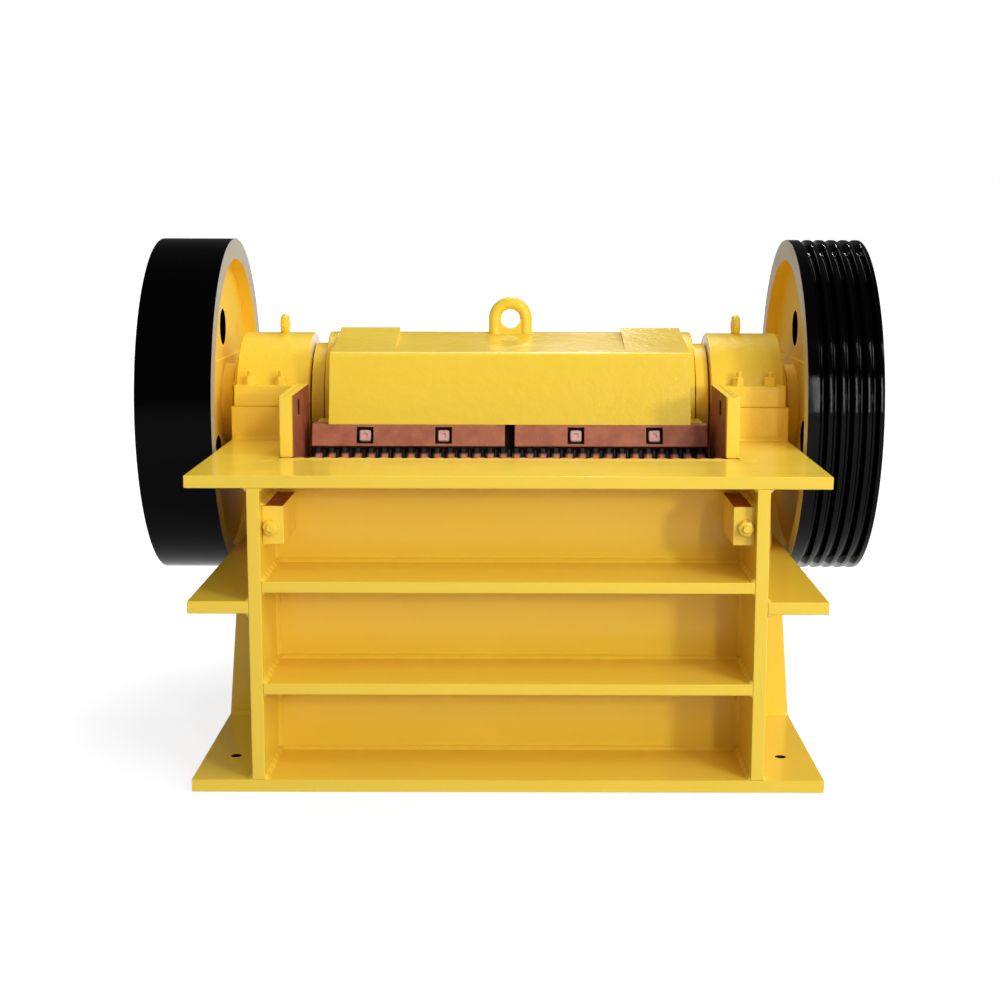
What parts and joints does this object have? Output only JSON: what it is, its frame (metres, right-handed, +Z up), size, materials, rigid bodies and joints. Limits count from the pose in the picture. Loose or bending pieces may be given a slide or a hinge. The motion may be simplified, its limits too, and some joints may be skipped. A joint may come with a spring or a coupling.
{
  "type": "jaw crusher",
  "caption": "Wide jaw crusher on a welded plate frame: toothed fixed and swing jaws, eccentric shaft in two bearing housings, a flywheel and a grooved belt wheel.",
  "frame": {"origin": "on the floor below the middle of the machine, the centre of its outline seen from above", "axes": "+X along the crushing chamber towards the grooved wheel, +Y from the feed side to the rear, +Z up"},
  "size_m": [2.17, 1.56, 1.435],
  "materials": {
    "frame_paint": "glossy yellow enamel over welded plate and castings",
    "wheel_paint": "glossy black enamel on the rims, yellow enamel on the webs",
    "wear_steel": "red-brown primer over cast manganese steel",
    "bare_steel": "turned bare steel, lightly oiled",
    "spring_steel": "black coated spring steel"
  },
  "bodies": {
    "frame": {"backing_plate_left": "frame_paint", "backing_plate_right": "frame_paint", "base_flange": "frame_paint", "bearing_cap_left": "frame_paint", "bearing_cap_right": "frame_paint", "bearing_cover_left": "frame_paint", "bearing_cover_right": "frame_paint", "bearing_pedestal_left": "frame_paint", "bearing_pedestal_right": "frame_paint", "cheek_plate_left": "wear_steel", "cheek_plate_right": "wear_steel", "clamp_block_left": "frame_paint", "clamp_block_right": "frame_paint", "fixed_jaw_ledge": "frame_paint", "fixed_jaw_plate": "wear_steel", "front_rib_lower": "frame_paint", "front_rib_upper": "frame_paint", "front_wall": "frame_paint", "gussets_left": "frame_paint", "gussets_right": "frame_paint", "mid_flange_left": "frame_paint", "mid_flange_right": "frame_paint", "rear_rib_lower": "frame_paint", "rear_rib_upper": "frame_paint", "rear_wall": "frame_paint", "side_wall_left": "frame_paint", "side_wall_right": "frame_paint", "spring_washers": "bare_steel", "stop_bar_left": "frame_paint", "stop_bar_right": "frame_paint", "tension_rods": "bare_steel", "tension_springs": "spring_steel", "toggle_block": "frame_paint", "toggle_plate": "bare_steel", "top_flange": "frame_paint"},
    "shaft": {"eccentric_shaft": "bare_steel", "shaft_rings": "bare_steel", "flywheel": "wheel_paint", "grooved_wheel": "wheel_paint"},
    "jaw": {"swing_jaw": "frame_paint", "moving_jaw_plate": "wear_steel", "wedge_bar_left": "wear_steel", "wedge_bar_right": "wear_steel", "jaw_end_covers": "frame_paint"}
  },
  "joints": [
    {"name": "shaft_spin", "type": "hinge", "parent": "frame", "child": "shaft", "pos_m": [0, 0.26, 0.925], "axis": [1, 0, 0], "continuous": true},
    {"name": "jaw_on_eccentric", "type": "hinge", "parent": "shaft", "child": "jaw", "pos_m": [0, 0.26, 0.935], "axis": [1, 0, 0], "continuous": true}
  ],
  "couplings": [
    {"joint": "jaw_on_eccentric", "follows": "shaft_spin", "ratio": -1}
  ]
}
